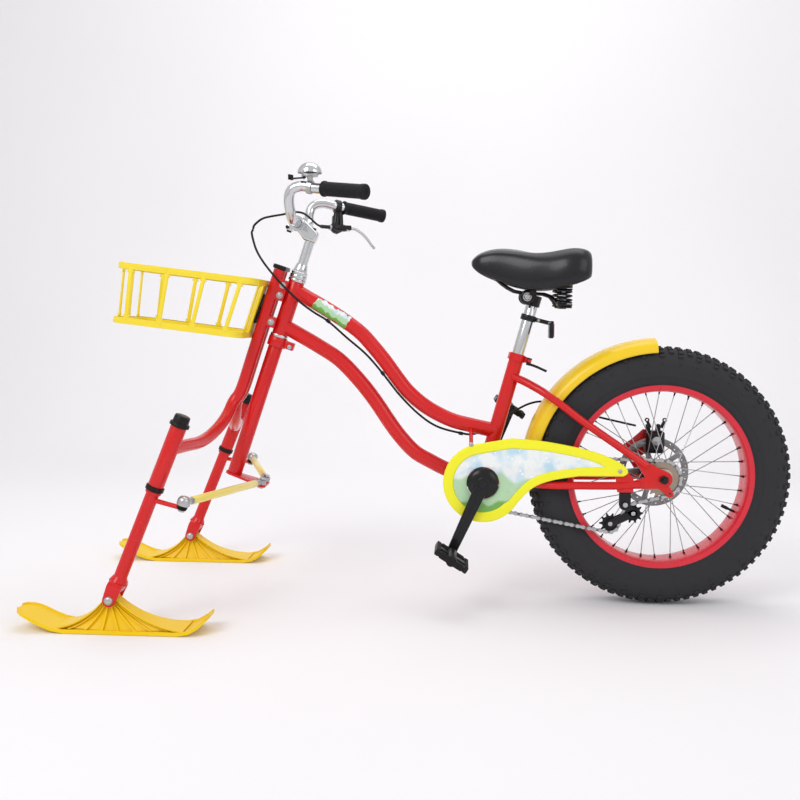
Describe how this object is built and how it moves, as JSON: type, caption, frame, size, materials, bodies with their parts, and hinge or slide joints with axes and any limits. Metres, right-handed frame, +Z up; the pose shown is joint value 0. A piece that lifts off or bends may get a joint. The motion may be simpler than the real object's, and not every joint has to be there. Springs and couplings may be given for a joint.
{
  "type": "snow bike",
  "caption": "Snow bike with steered twin skis in front, a fat driven rear wheel, swept bar, sprung saddle, basket, chain guard, fender and disc brake.",
  "frame": {"origin": "on the ground, midway along the bike and between its skis", "axes": "+X to the rear, from the skis to the wheel; +Y across, away from the chain; +Z up"},
  "size_m": [1.643, 0.698, 0.967],
  "materials": {
    "alloy": "satin",
    "black_plastic": "matt",
    "black_vinyl": "matt",
    "chrome": "polished",
    "dark_steel": "satin",
    "lemon_plastic": "gloss",
    "pale_paint": "satin",
    "red_paint": "gloss",
    "red_rim_paint": "gloss",
    "reflector_red": "gloss",
    "rubber": "matt",
    "ski_plastic": "satin",
    "tyre_rubber": "matt",
    "yellow_plastic": "gloss",
    "zinc_steel": "satin"
  },
  "bodies": {
    "frame": {"front_frame": "red_paint", "rear_frame": "red_paint", "post_cap": "black_plastic", "basket": "yellow_plastic", "basket_strap": "dark_steel", "hub_axle": "zinc_steel", "bottom_bracket": "dark_steel", "chain": "zinc_steel", "tensioner_hanger": "dark_steel", "chain_guard": "lemon_plastic", "fender": "yellow_plastic", "caliper_body": "dark_steel", "seat_collar": "dark_steel", "upper_post_clamp": "red_paint", "lower_post_clamp": "red_paint", "ski_frame_near": "red_paint", "ski_frame_far": "red_paint", "leg_bush_near": "black_plastic", "leg_bush_far": "black_plastic", "cable_frame": "rubber"},
    "steering": {"steering_column": "red_paint", "stem": "chrome", "handlebar": "chrome", "bell_base": "zinc_steel", "bell_dome": "chrome", "lever_bracket": "black_plastic", "grip_near": "rubber", "grip_far": "rubber", "cable_steering": "rubber"},
    "bell_lever": {"bell_lever": "black_plastic"},
    "brake_lever": {"lever_blade": "alloy"},
    "leg_near": {"leg_near": "red_paint"},
    "leg_far": {"leg_far": "red_paint"},
    "ski_near": {"ski_near": "ski_plastic"},
    "ski_far": {"ski_far": "ski_plastic"},
    "tie_rod_near": {"tie_rod_near": "pale_paint"},
    "tie_rod_far": {"tie_rod_far": "pale_paint"},
    "seat": {"seat_post": "chrome", "saddle_pad": "black_vinyl", "saddle_base": "black_plastic", "saddle_rails": "dark_steel", "saddle_clamp": "dark_steel", "reflector": "reflector_red", "saddle_spring_near": "dark_steel", "saddle_spring_far": "dark_steel"},
    "qr_lever": {"qr_lever": "zinc_steel"},
    "crank": {"crank_spindle": "dark_steel", "crank_near": "black_plastic", "crank_far": "black_plastic"},
    "pedal_near": {"pedal_near": "black_plastic"},
    "pedal_far": {"pedal_far": "black_plastic"},
    "freewheel": {"freewheel": "zinc_steel"},
    "tensioner": {"tensioner_cage": "black_plastic"},
    "guide_pulley": {"guide_pulley": "black_plastic"},
    "tension_pulley": {"tension_pulley": "black_plastic"},
    "rear_wheel": {"tyre": "tyre_rubber", "rim": "red_rim_paint", "spoked_hub": "alloy", "rotor": "zinc_steel"},
    "caliper_arm": {"caliper_arm": "zinc_steel"}
  },
  "joints": [
    {"name": "steering_turn", "type": "hinge", "parent": "frame", "child": "steering", "pos_m": [-0.442, 0, 0.282], "axis": [0.3123, 0, 0.95], "range_deg": [-24, 24]},
    {"name": "leg_near_turn", "type": "hinge", "parent": "frame", "child": "leg_near", "pos_m": [-0.628, -0.305, 0.064], "axis": [0.3714, 0, 0.9285], "range_deg": [-24, 24]},
    {"name": "leg_far_turn", "type": "hinge", "parent": "frame", "child": "leg_far", "pos_m": [-0.628, 0.305, 0.064], "axis": [0.3714, 0, 0.9285], "range_deg": [-24, 24]},
    {"name": "ski_near_pitch", "type": "hinge", "parent": "leg_near", "child": "ski_near", "pos_m": [-0.628, -0.305, 0.064], "axis": [0, 1, 0], "range_deg": [-20, 20]},
    {"name": "ski_far_pitch", "type": "hinge", "parent": "leg_far", "child": "ski_far", "pos_m": [-0.628, 0.305, 0.064], "axis": [0, 1, 0], "range_deg": [-20, 20]},
    {"name": "tie_rod_near_turn", "type": "hinge", "parent": "steering", "child": "tie_rod_near", "pos_m": [-0.37691, -0.024, 0.25586], "axis": [0.3123, 0, 0.95], "range_deg": [-24, 24]},
    {"name": "tie_rod_far_turn", "type": "hinge", "parent": "steering", "child": "tie_rod_far", "pos_m": [-0.37691, 0.024, 0.25586], "axis": [0.3123, 0, 0.95], "range_deg": [-24, 24]},
    {"name": "brake_lever_pull", "type": "hinge", "parent": "steering", "child": "brake_lever", "pos_m": [-0.198, 0.17, 0.86], "axis": [0.5391, -0.8063, 0.2436], "range_deg": [0, 22], "stiffness_Nm_per_rad": 0.2, "springref_deg": -17.19},
    {"name": "caliper_arm_turn", "type": "hinge", "parent": "frame", "child": "caliper_arm", "pos_m": [0.539, 0.0662, 0.362], "axis": [0, -1, 0], "range_deg": [0, 18]},
    {"name": "bell_lever_push", "type": "hinge", "parent": "steering", "child": "bell_lever", "pos_m": [-0.257, -0.151, 0.9405], "axis": [0, 0, 1], "range_deg": [0, 25], "stiffness_Nm_per_rad": 0.05, "springref_deg": -17.19},
    {"name": "seat_height", "type": "slide", "parent": "frame", "child": "seat", "axis": [0.2608, 0, 0.9654], "range_m": [-0.055, 0.05]},
    {"name": "qr_lever_swing", "type": "hinge", "parent": "frame", "child": "qr_lever", "pos_m": [0.23333, -0.0138, 0.54862], "axis": [-0.2608, 0, -0.9654], "range_deg": [0, 120]},
    {"name": "crank_spin", "type": "hinge", "parent": "frame", "child": "crank", "pos_m": [0.132, 0, 0.279], "axis": [0, 1, 0], "continuous": true},
    {"name": "pedal_near_spin", "type": "hinge", "parent": "crank", "child": "pedal_near", "pos_m": [0.06501, -0.1025, 0.12712], "axis": [0, 1, 0], "continuous": true},
    {"name": "pedal_far_spin", "type": "hinge", "parent": "crank", "child": "pedal_far", "pos_m": [0.19899, 0.1025, 0.43088], "axis": [0, 1, 0], "continuous": true},
    {"name": "freewheel_spin", "type": "hinge", "parent": "frame", "child": "freewheel", "pos_m": [0.529, 0, 0.2925], "axis": [0, 1, 0], "continuous": true},
    {"name": "tensioner_swing", "type": "hinge", "parent": "frame", "child": "tensioner", "pos_m": [0.446, -0.0545, 0.235], "axis": [0, 1, 0], "range_deg": [-6, 7], "stiffness_Nm_per_rad": 2},
    {"name": "guide_pulley_spin", "type": "hinge", "parent": "tensioner", "child": "guide_pulley", "pos_m": [0.466, -0.0545, 0.214], "axis": [0, 1, 0], "continuous": true},
    {"name": "tension_pulley_spin", "type": "hinge", "parent": "tensioner", "child": "tension_pulley", "pos_m": [0.416, -0.0545, 0.19], "axis": [0, 1, 0], "continuous": true},
    {"name": "rear_wheel_spin", "type": "hinge", "parent": "frame", "child": "rear_wheel", "pos_m": [0.529, 0, 0.2925], "axis": [0, 1, 0], "continuous": true}
  ],
  "couplings": [
    {"joint": "leg_near_turn", "follows": "steering_turn", "ratio": 1},
    {"joint": "leg_far_turn", "follows": "steering_turn", "ratio": 1},
    {"joint": "tie_rod_near_turn", "follows": "steering_turn", "ratio": -1},
    {"joint": "tie_rod_far_turn", "follows": "steering_turn", "ratio": -1},
    {"joint": "caliper_arm_turn", "follows": "brake_lever_pull", "ratio": 0.8},
    {"joint": "freewheel_spin", "follows": "crank_spin", "ratio": 1.4},
    {"joint": "guide_pulley_spin", "follows": "crank_spin", "ratio": -2.8},
    {"joint": "tension_pulley_spin", "follows": "crank_spin", "ratio": 2.8}
  ]
}
